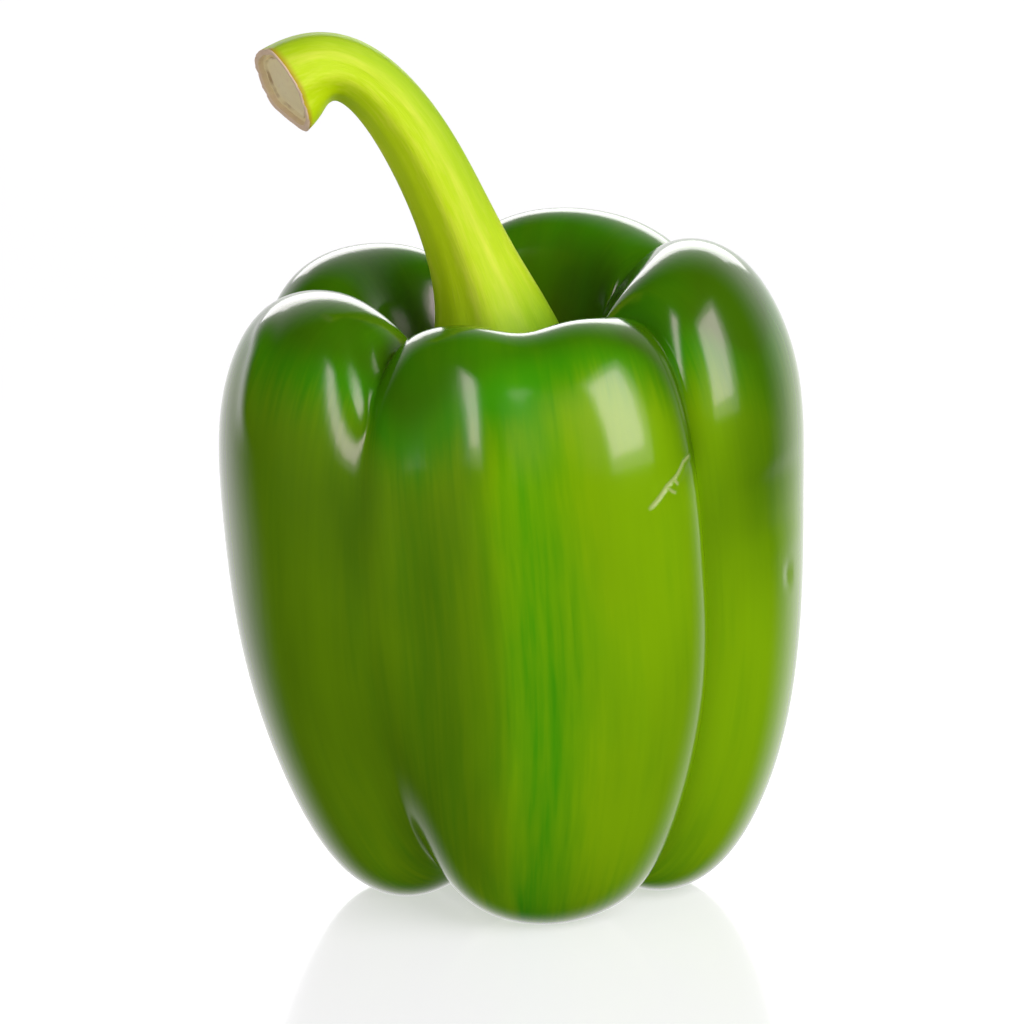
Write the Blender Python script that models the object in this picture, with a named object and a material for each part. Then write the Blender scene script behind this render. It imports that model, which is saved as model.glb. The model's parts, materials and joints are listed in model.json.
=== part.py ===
"""Green bell pepper: a five-lobed fruit and its stem, which ends below in the calyx.

Metres, +Z up, the front of the fruit faces -Y. The origin is on the ground under the
middle of the fruit, which stands on five small flats, one under each lobe.
"""

from dataclasses import dataclass
from math import pi

import bmesh
import bpy
import numpy as np

MM = 0.001

# The fruit, in millimetres above its lowest point.
CROWN_FLOOR = 72.0  # where the stem stands, deep between the shoulders
BLOSSOM_END = 9.5  # top of the hollow between the feet
FOOT_FLAT = 0.35  # height that the ground presses flat under each lobe
MERIDIANS = 80  # a multiple of the number of lobes, so that each groove has its own
PARALLELS = 40
WELD = 1e-6  # metres: points nearer than this are one

# The stem and the calyx.
STEM_GAP = 0.3  # clearance between the calyx and the fruit
STEM_RINGS = 34
STEM_BEVEL_RESOLUTION = 8
CALYX_TEETH = 6
CALYX_TOOTH_REACH = 2.2
CALYX_TOOTH_LIFT = 1.2
CALYX_TOP = 76.8  # the teeth fade out towards this height
CALYX_BASE = 72.8
KNIFE_POINT = (-32.0, -3.6, 114.3)  # centre of the cut end
KNIFE_NORMAL = (-0.80, -0.48, -0.36)
KNIFE_REACH = 95.0  # the knife cuts nothing lower than this

COLLECTION = "bell_pepper"
CUTTERS = "cutters"


@dataclass(frozen=True)
class Lobe:
    """One lobe down its middle: heights and radii from the axis, in millimetres."""

    crest: float  # height of the shoulder
    ring: float  # radius of the shoulder's highest line
    reach: float  # radius at the widest part, high on the side
    belly: float  # radius at two fifths of the height
    heel: float  # radius where the side turns under
    foot: float  # radius of the line that the lobe stands on
    shoulder: float = 0.84  # radius beside the shoulder, as a share of reach
    fullness: float = 0.85  # below 1 the lobe is flatter across its middle
    dip: float = 0.0  # depth of a dimple in the middle of the shoulder


@dataclass(frozen=True)
class Groove:
    """The groove before a lobe, counted from -Y towards +X: how far it lies under its lobes, in mm."""

    azimuths: tuple  # degrees from -Y towards +X at shoulder, upper, middle, lower side, foot
    crest: float = 8.0
    side: float = 5.0
    heel: float = 7.0
    foot: float = 7.0
    softness: tuple = (0.15, 0.25, 0.15)  # at shoulder, middle, foot: 0 is a sharp crease


LOBES = (
    Lobe(crest=85.5, ring=24.5, reach=40.6, belly=39.8, heel=34.5, foot=18.5, fullness=0.72, dip=1.6),
    Lobe(crest=91.8, ring=24.0, reach=40.6, belly=40.2, heel=36.2, foot=18.5),
    Lobe(crest=90.6, ring=23.0, reach=40.2, belly=39.0, heel=33.0, foot=18.5),
    Lobe(crest=86.4, ring=25.5, reach=40.2, belly=38.0, heel=32.0, foot=18.5, shoulder=0.86),
    Lobe(crest=86.0, ring=24.0, reach=40.8, belly=39.5, heel=33.2, foot=18.0, shoulder=0.885, fullness=0.8),
)
GROOVES = (
    Groove((-38, -31, -33, -37, -40), crest=7.5, side=2.6, heel=6.0, softness=(0.15, 0.9, 0.4)),
    Groove((50, 44.5, 53, 52, 52), crest=6.5, side=6.0, heel=8.0, softness=(0.15, 0.15, 0.12)),
    Groove((114, 118, 122, 124, 126)),
    Groove((197, 195, 188, 184, 182)),
    Groove((265, 257, 246, 238, 234)),
)

# Rows of a profile, from the crown down over the shoulder and the side to the blossom end.
ROWS = 14
AZIMUTH_ROWS = (4, 6, 8, 10, 12)
SOFTNESS_ROWS = (4, 8, 12)
AXIS_SHIFT = (-1.5, -0.6, 0.4, 1.6, 3.2)  # towards +X at AZIMUTH_ROWS: the fruit leans
DIMPLE_DROP = np.array((0, 0, 0, 0.6, 1.2, 0.9, 0.2, 0, 0, 0, 0, 0, 0, 0))
DIMPLE_SINK = np.array((0, 0, 0, 0, 0, 0.5, 0.8, 0.4, 0.2, 0, 0, 0, 0, 0))
DIMPLE_WIDTH = 0.2  # of half a lobe

# Control points of the stem's middle line, and its radius there.
STEM_LINE = (
    (-2.2, 0.0, 67.8, 14.0),
    (-2.2, 0.0, 72.3, 13.4),
    (-2.0, 0.0, 75.8, 10.2),
    (-2.9, 0.0, 81.6, 7.9),
    (-5.4, 0.0, 89.1, 5.9),
    (-8.7, 0.0, 97.3, 5.2),
    (-12.3, 0.0, 104.9, 5.0),
    (-17.0, 0.0, 112.2, 4.6),
    (-22.6, -0.5, 117.2, 4.2),
    (-28.3, -2.0, 117.3, 5.2),
    (-33.2, -4.0, 114.2, 5.9),
    (-38.0, -7.0, 111.0, 6.2),
)


def lobe_profile(lobe):
    """Radius and height of a lobe's control rows."""
    return np.array((
        (0.0, CROWN_FLOOR),
        (lobe.ring * 0.36, CROWN_FLOOR - 0.5),
        (lobe.ring * 0.62, CROWN_FLOOR + 3.0),
        (lobe.ring * 0.74, lobe.crest - 3.5),
        (lobe.ring, lobe.crest + 2.2),
        (lobe.reach * lobe.shoulder, lobe.crest - 0.3),
        (lobe.reach * 1.03, lobe.crest * 0.82),
        (lobe.reach * 1.01, lobe.crest * 0.62),
        (lobe.belly, lobe.crest * 0.40),
        (lobe.heel * 1.03, lobe.crest * 0.19),
        (lobe.heel * 0.80, 1.0),
        (lobe.foot * 0.95, -2.6),
        (lobe.foot * 0.52, 2.0),
        (0.0, BLOSSOM_END),
    ))


def groove_profile(index):
    """Radius and height of the control rows of the groove before lobe number index."""
    groove = GROOVES[index]
    between = (lobe_profile(LOBES[index - 1]) + lobe_profile(LOBES[index])) / 2
    inwards = np.array((
        0, 0, 0.9, 1.8, 3.0, 4.8, groove.side, groove.side, groove.side * 1.1,
        groove.heel, groove.heel * 0.9, groove.foot * 0.35, 0, 0,
    ))
    downwards = np.array((
        0, 0, 1.5, groove.crest * 0.7, groove.crest, groove.crest * 0.7, groove.crest * 0.3,
        0, 0, 0, -groove.foot * 0.8, -groove.foot, -groove.foot * 0.5, 0,
    ))
    return between - np.stack((inwards, downwards), 1)


def spline_weights(rows, along):
    """Weights of a uniform cubic B-spline's control rows, with one more row past each end."""
    place = along * (rows - 1)
    first = np.clip(np.floor(place).astype(int), 0, rows - 2)
    step = place - first
    parts = (
        (1 - step) ** 3,
        3 * step**3 - 6 * step**2 + 4,
        -3 * step**3 + 3 * step**2 + 3 * step + 1,
        step**3,
    )
    weights = np.zeros((len(along), rows + 2))
    for offset, part in enumerate(parts):
        weights[np.arange(len(along)), first + offset] = part / 6
    return weights


def rows_between(keys, values):
    """Values that are given at some rows, filled in for every row."""
    return np.interp(np.arange(ROWS), keys, values)


def meridian_rows(turn):
    """Control points (n, ROWS, 3) in mm of the meridians at these shares of a turn."""
    count = len(LOBES)
    place = turn % 1.0 * count
    lobe = np.minimum(place.astype(int), count - 1)
    after = (lobe + 1) % count
    across = (2 * (place - lobe) - 1)[:, None]
    rise = (across + 1) / 2
    ease = rise * rise * (3 - 2 * rise)

    softness = np.array([rows_between(SOFTNESS_ROWS, groove.softness) for groove in GROOVES])
    soft = softness[lobe] * (1 - ease) + softness[after] * ease
    spread = (1 - soft) * np.sin(pi * across / 2) + soft * across
    arch = np.sqrt(np.cos(pi * across / 2) ** 2 + soft**2) - soft
    fullness = np.array([shape.fullness for shape in LOBES])[lobe, None]
    arch = (arch / (np.sqrt(1 + soft**2) - soft)) ** fullness

    lobes = np.array([lobe_profile(shape) for shape in LOBES])
    grooves = np.array([groove_profile(index) for index in range(count)])
    base = grooves[lobe] * (1 - ease)[..., None] + grooves[after] * ease[..., None]
    profile = base + (lobes[lobe] - base) * arch[..., None]
    dip = np.array([shape.dip for shape in LOBES])[lobe, None] * np.exp(-((across / DIMPLE_WIDTH) ** 2))
    radius = profile[..., 0] - dip * DIMPLE_SINK
    height = profile[..., 1] - dip * DIMPLE_DROP

    azimuths = np.array([rows_between(AZIMUTH_ROWS, groove.azimuths) for groove in GROOVES])
    full_turn = np.where(after == 0, 360.0, 0.0)[:, None]
    share = (spread + 1) / 2
    azimuth = np.radians(azimuths[lobe] * (1 - share) + (azimuths[after] + full_turn) * share)
    shift = rows_between(AZIMUTH_ROWS, AXIS_SHIFT)
    return np.stack((radius * np.sin(azimuth) + shift, -radius * np.cos(azimuth), height), -1)


def fruit_points(turn, along):
    """Points of the skin in mm, by share of a turn and share of the way from crown to foot."""
    rows = meridian_rows(turn)
    ends = []
    for pole, beside in ((0, 1), (-1, -2)):
        past = 2 * rows[:, pole] - rows[:, beside]
        past[:, 2] = rows[:, beside, 2]
        ends.append(past[:, None])
    rows = np.concatenate((ends[0], rows, ends[1]), axis=1)
    return np.einsum("nk,nkc->nc", spline_weights(ROWS, along), rows)


def fruit_offset():
    """What moves the fruit's middle and its flats to the origin."""
    turn, along = np.meshgrid(np.linspace(0, 1, 5 * MERIDIANS), np.linspace(0, 1, 10 * PARALLELS))
    points = fruit_points(turn.ravel(), along.ravel())
    low, high = points.min(axis=0), points.max(axis=0)
    middle = (low + high) / 2
    return -np.array((middle[0], middle[1], low[2] + FOOT_FLAT))


def clear_scene():
    """Leaves nothing in the file that a render would show."""
    for obj in list(bpy.data.objects):
        bpy.data.objects.remove(obj, do_unlink=True)


def new_collection(name, hidden=False):
    """A collection under the scene's own."""
    collection = bpy.data.collections.new(name)
    collection.hide_render = hidden
    bpy.context.scene.collection.children.link(collection)
    return collection


def new_material(name, color, roughness):
    """A Principled material of one colour."""
    material = bpy.data.materials.new(name)
    material.use_nodes = True
    shader = material.node_tree.nodes["Principled BSDF"]
    shader.inputs["Base Color"].default_value = (*color, 1.0)
    shader.inputs["Roughness"].default_value = roughness
    shader.inputs["Metallic"].default_value = 0.0
    material.diffuse_color = (*color, 1.0)
    return material


def new_object(name, bm, collection, *materials):
    """Turns a bmesh into an object of a collection, and frees it."""
    mesh = bpy.data.meshes.new(name)
    bm.to_mesh(mesh)
    bm.free()
    for material in materials:
        mesh.materials.append(material)
    obj = bpy.data.objects.new(name, mesh)
    collection.objects.link(obj)
    return obj


def shaped_fruit(offset):
    """A UV sphere drawn out into the lobed fruit, as a bmesh."""
    bm = bmesh.new()
    bmesh.ops.create_uvsphere(bm, u_segments=MERIDIANS, v_segments=PARALLELS, radius=1.0)
    sphere = np.array([vert.co for vert in bm.verts])
    turn = np.arctan2(sphere[:, 1], sphere[:, 0]) / (2 * pi)
    along = np.arccos(np.clip(sphere[:, 2], -1, 1)) / pi
    points = (fruit_points(turn, along) + offset) * MM
    for vert, point in zip(bm.verts, points):
        vert.co = point
    bmesh.ops.recalc_face_normals(bm, faces=bm.faces)
    return bm


def make_fruit(offset, collection, skin):
    """The fruit, cut level at the ground so that each lobe rests on a small flat."""
    bm = shaped_fruit(offset)
    everything = [*bm.verts, *bm.edges, *bm.faces]
    cut = bmesh.ops.bisect_plane(
        bm, geom=everything, dist=WELD, plane_co=(0, 0, 0), plane_no=(0, 0, -1), clear_outer=True
    )
    rims = [item for item in cut["geom_cut"] if isinstance(item, bmesh.types.BMEdge)]
    bmesh.ops.holes_fill(bm, edges=rims, sides=0)
    bmesh.ops.recalc_face_normals(bm, faces=bm.faces)
    fruit = new_object("fruit", bm, collection, skin)
    fruit.data.shade_smooth()
    fruit.data.set_sharp_from_angle(angle=pi / 3)
    return fruit


def make_clearance(offset, collection):
    """The fruit's shape grown by the gap, which keeps the calyx off the skin."""
    bm = shaped_fruit(offset)
    bm.normal_update()
    for vert in bm.verts:
        vert.co += vert.normal * STEM_GAP * MM
    cutter = new_object("fruit_clearance", bm, collection)
    cutter.hide_render = True
    cutter.display_type = "WIRE"
    return cutter


def stem_curve(offset):
    """The stem as a tube along a smooth line, thick at the calyx and where it was cut."""
    points = np.array(STEM_LINE)
    points[:, :3] += offset
    before = 2 * points[:1] - points[1:2]
    after = 2 * points[-1:] - points[-2:-1]
    controls = np.concatenate((before, points, after))
    line = spline_weights(len(points), np.linspace(0, 1, STEM_RINGS)) @ controls

    curve = bpy.data.curves.new("stem_line", "CURVE")
    curve.dimensions = "3D"
    curve.bevel_depth = MM
    curve.bevel_resolution = STEM_BEVEL_RESOLUTION
    curve.use_fill_caps = True
    spline = curve.splines.new("POLY")
    spline.points.add(STEM_RINGS - 1)
    for point, (x, y, z, radius) in zip(spline.points, line):
        point.co = (x * MM, y * MM, z * MM, 1.0)
        point.radius = radius
    return bpy.data.objects.new("stem_line", curve)


def draw_out_teeth(bm, offset):
    """Draws the lowest rings of the stem out into the calyx's teeth."""
    axis = np.array(STEM_LINE[0][:3]) + offset
    base = CALYX_BASE + offset[2]
    top = CALYX_TOP + offset[2]
    for vert in bm.verts:
        height = vert.co.z / MM
        if height > top:
            continue
        x, y = vert.co.x / MM - axis[0], vert.co.y / MM - axis[1]
        radius = np.hypot(x, y)
        if radius < CALYX_TOOTH_REACH:
            continue
        tooth = (0.5 + 0.5 * np.cos(CALYX_TEETH * np.arctan2(y, x))) ** 2
        fade = min(1.0, (top - height) / (top - base))
        stretch = 1 + CALYX_TOOTH_REACH * tooth * fade / radius
        vert.co.x = (axis[0] + x * stretch) * MM
        vert.co.y = (axis[1] + y * stretch) * MM
        vert.co.z += CALYX_TOOTH_LIFT * tooth * fade * MM


def make_stem(offset, collection, clearance, green, pith):
    """The stem with its calyx, cut by a knife above and fitted to the crown below."""
    guide = stem_curve(offset)
    collection.objects.link(guide)
    evaluated = guide.evaluated_get(bpy.context.evaluated_depsgraph_get())
    tube = bpy.data.meshes.new_from_object(evaluated)
    bpy.data.objects.remove(guide, do_unlink=True)
    bm = bmesh.new()
    bm.from_mesh(tube)
    bpy.data.meshes.remove(tube)
    bmesh.ops.remove_doubles(bm, verts=bm.verts, dist=WELD)
    draw_out_teeth(bm, offset)

    knife = (np.array(KNIFE_POINT) + offset) * MM
    above = [vert for vert in bm.verts if vert.co.z > KNIFE_REACH * MM]
    reached = set(above)
    edges = [edge for edge in bm.edges if reached.issuperset(edge.verts)]
    sides = [face for face in bm.faces if reached.issuperset(face.verts)]
    cut = bmesh.ops.bisect_plane(
        bm, geom=[*above, *edges, *sides], dist=WELD, plane_co=knife, plane_no=KNIFE_NORMAL, clear_outer=True
    )
    rim = [item for item in cut["geom_cut"] if isinstance(item, bmesh.types.BMEdge)]
    faces = bmesh.ops.contextual_create(bm, geom=rim)["faces"]
    bmesh.ops.recalc_face_normals(bm, faces=bm.faces)
    for face in faces:
        face.material_index = 1
    stem = new_object("stem", bm, collection, green, pith)
    stem.data.shade_smooth()
    stem.data.set_sharp_from_angle(angle=pi / 4)
    fit = stem.modifiers.new("fit_to_crown", "BOOLEAN")
    fit.operation = "DIFFERENCE"
    fit.solver = "EXACT"
    fit.object = clearance
    return stem


def main():
    """Builds the pepper."""
    clear_scene()
    parts = new_collection(COLLECTION)
    cutters = new_collection(CUTTERS, hidden=True)
    skin = new_material("pepper_skin", (0.045, 0.16, 0.004), 0.22)
    green = new_material("stem_green", (0.42, 0.52, 0.02), 0.45)
    pith = new_material("cut_pith", (0.62, 0.52, 0.30), 0.8)
    offset = fruit_offset()
    make_fruit(offset, parts, skin)
    clearance = make_clearance(offset, cutters)
    make_stem(offset, parts, clearance, green, pith)


if __name__ == "__main__":
    main()
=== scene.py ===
"""The looks of a green bell pepper: waxy lobed fruit, ridged stem with its calyx, and a studio.

The fruit and the stem repeat the driving sizes of the solid part, in millimetres, and add
the finer relief and the finishes that the solid part leaves out.
"""

import json
import logging
from contextlib import contextmanager
from dataclasses import dataclass, field
from enum import Enum
from math import cos, pi, radians, sin, tan
from typing import Any, Iterator, Mapping, Optional, Sequence, Union

import bpy
import numpy as np
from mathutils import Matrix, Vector
from mathutils.bvhtree import BVHTree

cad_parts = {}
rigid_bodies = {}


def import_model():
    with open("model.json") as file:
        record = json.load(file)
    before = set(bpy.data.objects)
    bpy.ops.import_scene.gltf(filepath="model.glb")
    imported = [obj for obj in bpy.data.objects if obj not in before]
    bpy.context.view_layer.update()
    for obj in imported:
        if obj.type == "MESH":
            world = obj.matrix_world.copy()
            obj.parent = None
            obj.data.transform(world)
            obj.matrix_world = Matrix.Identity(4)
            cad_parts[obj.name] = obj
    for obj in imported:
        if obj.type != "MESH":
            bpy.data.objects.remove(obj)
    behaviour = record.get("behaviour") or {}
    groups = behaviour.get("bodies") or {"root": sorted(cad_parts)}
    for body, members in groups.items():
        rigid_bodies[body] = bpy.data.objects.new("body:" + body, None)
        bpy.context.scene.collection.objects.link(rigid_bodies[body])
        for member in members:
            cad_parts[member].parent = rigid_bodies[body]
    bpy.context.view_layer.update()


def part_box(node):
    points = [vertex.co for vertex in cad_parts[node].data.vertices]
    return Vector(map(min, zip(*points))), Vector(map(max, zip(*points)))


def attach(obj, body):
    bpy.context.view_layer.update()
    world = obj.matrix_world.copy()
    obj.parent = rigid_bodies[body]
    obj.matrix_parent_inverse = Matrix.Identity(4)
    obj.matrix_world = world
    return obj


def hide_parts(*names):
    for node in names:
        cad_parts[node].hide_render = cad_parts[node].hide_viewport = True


LOG = logging.getLogger("bell_pepper")
MM = 0.001
Color = tuple[float, float, float]
Place = tuple[float, float]  # share of a turn round the fruit, share of the way down its skin
SelectMode = tuple[bool, bool, bool]  # vertices, edges, faces
EDGES: SelectMode = (False, True, False)
FACES: SelectMode = (False, False, True)


# ---------------------------------------------------------------------------------------
# Small helpers for meshes


def deselect() -> None:
    """Leaves no object selected."""
    for obj in bpy.context.selected_objects:
        obj.select_set(False)
    bpy.context.view_layer.objects.active = None


def pick(obj: bpy.types.Object) -> None:
    """Selects this object alone and makes it the active one."""
    deselect()
    obj.select_set(True)
    bpy.context.view_layer.objects.active = obj


@contextmanager
def editing(obj: bpy.types.Object, mode: SelectMode = FACES) -> Iterator[None]:
    """Runs a block in edit mode, with this object alone.

    Args:
        obj: The mesh object to edit.
        mode: What is selected in it.
    """
    pick(obj)
    bpy.context.tool_settings.mesh_select_mode = mode
    bpy.ops.object.mode_set(mode="EDIT")
    try:
        yield
    finally:
        bpy.ops.object.mode_set(mode="OBJECT")


def coordinates(mesh: bpy.types.Mesh) -> np.ndarray:
    """The vertex positions of a mesh, as an array of shape (n, 3)."""
    flat = np.empty(len(mesh.vertices) * 3)
    mesh.vertices.foreach_get("co", flat)
    return flat.reshape(-1, 3)


def place_vertices(mesh: bpy.types.Mesh, points: np.ndarray) -> None:
    """Moves the vertices of a mesh to these points, given in metres."""
    mesh.vertices.foreach_set("co", points.astype(np.float32).ravel())
    mesh.update()


def normals(mesh: bpy.types.Mesh) -> np.ndarray:
    """The vertex normals of a mesh, as an array of shape (n, 3)."""
    flat = np.empty(len(mesh.vertices) * 3)
    mesh.vertices.foreach_get("normal", flat)
    return flat.reshape(-1, 3)


def store(mesh: bpy.types.Mesh, name: str, values: np.ndarray) -> None:
    """Keeps a number or a vector for each vertex, for a material to read.

    Args:
        mesh: The mesh that carries the attribute.
        name: The attribute's name.
        values: An array of shape (n,) or (n, 3).
    """
    vector = values.ndim == 2
    attribute = mesh.attributes.new(name, "FLOAT_VECTOR" if vector else "FLOAT", "POINT")
    attribute.data.foreach_set("vector" if vector else "value", values.astype(np.float32).ravel())


def smooth_step(values: np.ndarray, low: float, high: float) -> np.ndarray:
    """Rises smoothly from 0 at low to 1 at high; low may be the larger of the two."""
    share = np.clip((values - low) / (high - low), 0.0, 1.0)
    return share * share * (3 - 2 * share)


def hump(angle: np.ndarray, middle: float, width: float) -> np.ndarray:
    """A smooth hump of height 1 on a circle, round the angle middle, in radians."""
    apart = (angle - middle + pi) % (2 * pi) - pi
    return np.exp(-((apart / width) ** 2))


def spline_weights(rows: int, along: np.ndarray) -> np.ndarray:
    """Weights of a uniform cubic B-spline, whose control rows reach one past each end.

    Args:
        rows: Number of control rows between the ends.
        along: Share of the way from the first row to the last, shape (n,).

    Returns:
        An array of shape (n, rows + 2).
    """
    place = along * (rows - 1)
    first = np.clip(np.floor(place).astype(int), 0, rows - 2)
    step = place - first
    parts = (
        (1 - step) ** 3,
        3 * step**3 - 6 * step**2 + 4,
        -3 * step**3 + 3 * step**2 + 3 * step + 1,
        step**3,
    )
    weights = np.zeros((len(along), rows + 2))
    for offset, part in enumerate(parts):
        weights[np.arange(len(along)), first + offset] = part / 6
    return weights


# ---------------------------------------------------------------------------------------
# Shader maths


class Number:
    """A number in a shader; Python's operators on it add Math nodes."""

    def __init__(self, graph: "Graph", socket: bpy.types.NodeSocket) -> None:
        """Wraps an output socket of the graph."""
        self.graph = graph
        self.socket = socket

    def _math(self, operation: str, left: "Term", right: "Term") -> "Number":
        """Adds one Math node on two terms."""
        node = self.graph.add("ShaderNodeMath", {"operation": operation}, {0: left, 1: right})
        return Number(self.graph, node.outputs[0])

    def __add__(self, other: "Term") -> "Number":
        """Sum."""
        return self._math("ADD", self, other)

    __radd__ = __add__

    def __sub__(self, other: "Term") -> "Number":
        """Difference."""
        return self._math("SUBTRACT", self, other)

    def __rsub__(self, other: "Term") -> "Number":
        """Difference, the other way round."""
        return self._math("SUBTRACT", other, self)

    def __mul__(self, other: "Term") -> "Number":
        """Product."""
        return self._math("MULTIPLY", self, other)

    __rmul__ = __mul__

    def between(self, low: float, high: float) -> "Number":
        """Rises smoothly from 0 at low to 1 at high."""
        settings = {"interpolation_type": "SMOOTHSTEP"}
        sockets = {"Value": self, "From Min": low, "From Max": high}
        node = self.graph.add("ShaderNodeMapRange", settings, sockets)
        return Number(self.graph, node.outputs[0])

    def clamped(self) -> "Number":
        """The number held between 0 and 1."""
        node = self.graph.add("ShaderNodeClamp", {}, {"Value": self})
        return Number(self.graph, node.outputs[0])


Term = Union[Number, float]


class Graph:
    """The nodes of one material or world."""

    def __init__(self, tree: bpy.types.NodeTree) -> None:
        """Starts from an empty tree."""
        self.tree = tree
        self.tree.nodes.clear()

    def add(
        self,
        kind: str,
        settings: Optional[Mapping[str, Any]] = None,
        sockets: Optional[Mapping[Union[str, int], Any]] = None,
    ) -> bpy.types.Node:
        """Adds a node.

        Args:
            kind: The node's type name.
            settings: Its properties, which are set first.
            sockets: Values or links of its inputs, by name or number.

        Returns:
            The new node.
        """
        node = self.tree.nodes.new(kind)
        for name, value in (settings or {}).items():
            setattr(node, name, value)
        for key, value in (sockets or {}).items():
            self.feed(node.inputs[key], value)
        return node

    def feed(self, socket: bpy.types.NodeSocket, value: Any) -> None:
        """Links a socket to a Number or an output, or sets its value."""
        if isinstance(value, Number):
            value = value.socket
        if isinstance(value, bpy.types.NodeSocket):
            self.tree.links.new(value, socket)
        elif isinstance(value, tuple) and len(value) == 3 and socket.type == "RGBA":
            socket.default_value = (*value, 1.0)
        else:
            socket.default_value = value

    def number(self, name: str) -> Number:
        """A number kept in a mesh attribute."""
        node = self.add("ShaderNodeAttribute", {"attribute_name": name})
        return Number(self, node.outputs["Fac"])

    def vector(self, name: str) -> bpy.types.NodeSocket:
        """A vector kept in a mesh attribute."""
        return self.add("ShaderNodeAttribute", {"attribute_name": name}).outputs["Vector"]

    def place(self) -> bpy.types.NodeSocket:
        """The point on the object, in metres."""
        return self.add("ShaderNodeTexCoord").outputs["Object"]

    def scaled(self, vector: bpy.types.NodeSocket, scale: Color) -> bpy.types.NodeSocket:
        """A vector stretched along each of its axes."""
        node = self.add("ShaderNodeVectorMath", {"operation": "MULTIPLY"}, {0: vector, 1: scale})
        return node.outputs[0]

    def noise(self, vector: bpy.types.NodeSocket, scale: float, detail: float = 2.0) -> Number:
        """Noise around one half, finer as the scale grows."""
        sockets = {"Vector": vector, "Scale": scale, "Detail": detail, "Roughness": 0.55}
        return Number(self, self.add("ShaderNodeTexNoise", {}, sockets).outputs[0])

    def mixed(self, share: Term, first: Any, second: Any) -> bpy.types.NodeSocket:
        """A colour between two colours."""
        node = self.add("ShaderNodeMix", {"data_type": "RGBA"}, {0: share, 6: first, 7: second})
        return node.outputs[2]

    def bump(self, height: Number, strength: float, distance: float) -> bpy.types.NodeSocket:
        """A normal tilted by a height, whose full range stands for the distance in metres."""
        sockets = {"Height": height, "Strength": strength, "Distance": distance}
        return self.add("ShaderNodeBump", {}, sockets).outputs[0]

    def principled(self, name: str, sockets: Mapping[str, Any]) -> None:
        """Ends the graph in a Principled shader.

        Args:
            name: The shader node's label.
            sockets: Values or links of the shader's inputs.
        """
        shader = self.add("ShaderNodeBsdfPrincipled", {"label": name}, sockets)
        self.add("ShaderNodeOutputMaterial", {}, {"Surface": shader.outputs[0]})


def new_material(name: str) -> tuple[bpy.types.Material, Graph]:
    """A material and its empty graph."""
    material = bpy.data.materials.new(name)
    material.use_nodes = True
    return material, Graph(material.node_tree)


# ---------------------------------------------------------------------------------------
# Finishes


@dataclass(frozen=True)
class SkinFinish:
    """Waxy skin: yellow-green flesh showing through in places, deep green elsewhere, which also paints
    shade in the crown's hollow and on the left side.
    """

    ripe: Color = (0.22, 0.42, 0.0004)
    green: Color = (0.05, 0.31, 0.0006)
    deep: Color = (0.05, 0.14, 0.0006)
    brown: Color = (0.13, 0.13, 0.004)
    cork: Color = (0.42, 0.48, 0.17)
    wax_tint: Color = (1.0, 0.70, 0.86)
    roughness: float = 0.145

    def build(self) -> bpy.types.Material:
        """Makes the material; it reads what Fruit keeps on its mesh."""
        material, graph = new_material("pepper_skin")
        grain = graph.vector("grain")
        streak = graph.noise(graph.scaled(grain, (46.0, 46.0, 14.0)), 1.0, 3.0)
        patch = graph.noise(graph.scaled(grain, (7.0, 7.0, 9.0)), 1.0, 2.0)
        speckle = graph.noise(graph.place(), 900.0, 2.0)
        green = graph.number("green")
        share = green + (streak - 0.5) * 0.9 * green * (1.0 - green) * 4.0
        share = (share + (streak - 0.5) * 0.22 + (patch - 0.5) * 0.7).clamped()
        color = graph.mixed(share, self.ripe, self.green)
        cloud = graph.noise(graph.scaled(grain, (3.0, 3.0, 5.5)), 1.0, 2.0)
        # The deep attribute holds deep green and painted shade
        shade = (graph.number("deep") + (cloud - 0.48) * 0.75 + (streak - 0.5) * 0.12).clamped()
        color = graph.mixed(shade, color, self.deep)
        color = graph.mixed(graph.number("brown"), color, self.brown)
        cork = graph.number("cork")
        color = graph.mixed(cork, color, self.cork)
        height = streak * 0.35 + speckle * 0.3 + cork * speckle * 2.0
        sockets = {
            "Base Color": color,
            "Roughness": self.roughness + (patch - 0.5) * 0.05 + cork * 0.35,
            "IOR": 1.47,
            "Specular Tint": (*self.wax_tint, 1.0),
            "Normal": graph.bump(height, 0.5, 0.05 * MM),
        }
        graph.principled("skin", sockets)
        return material


@dataclass(frozen=True)
class StemFinish:
    """Satin yellow-green stem with pale lengthwise streaks, greener at the calyx; two of the pale streaks
    are painted highlights down its side.
    """

    body: Color = (0.55, 0.74, 0.001)
    pale: Color = (0.74, 0.82, 0.06)
    green: Color = (0.20, 0.43, 0.002)
    edge: Color = (0.50, 0.36, 0.02)
    roughness: float = 0.55

    def build(self) -> bpy.types.Material:
        """Makes the material; it reads what Stem and Calyx keep on their meshes."""
        material, graph = new_material("stem_green")
        grain = graph.vector("grain")
        streak = graph.noise(graph.scaled(grain, (9.0, 9.0, 5.0)), 1.0, 3.0)
        fibre = graph.noise(graph.scaled(grain, (40.0, 40.0, 8.0)), 1.0, 2.0)
        # The ridge attribute also carries two painted highlights, which turn pale here
        pale = ((streak - 0.45) * 1.6 + (fibre - 0.5) * 0.5 + graph.number("ridge") * 0.25).clamped()
        color = graph.mixed(pale, self.body, self.pale)
        green = (graph.number("green") + (fibre - 0.5) * 0.3).clamped()
        color = graph.mixed(green, color, self.green)
        color = graph.mixed(graph.number("edge"), color, self.edge)
        sockets = {
            "Base Color": color,
            "Roughness": self.roughness + (streak - 0.5) * 0.1,
            "IOR": 1.3,
            "Specular Tint": (1.0, 1.0, 0.6, 1.0),
            "Normal": graph.bump(fibre * 0.7 + streak * 0.3, 0.5, 0.12 * MM),
        }
        graph.principled("stem", sockets)
        return material


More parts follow.
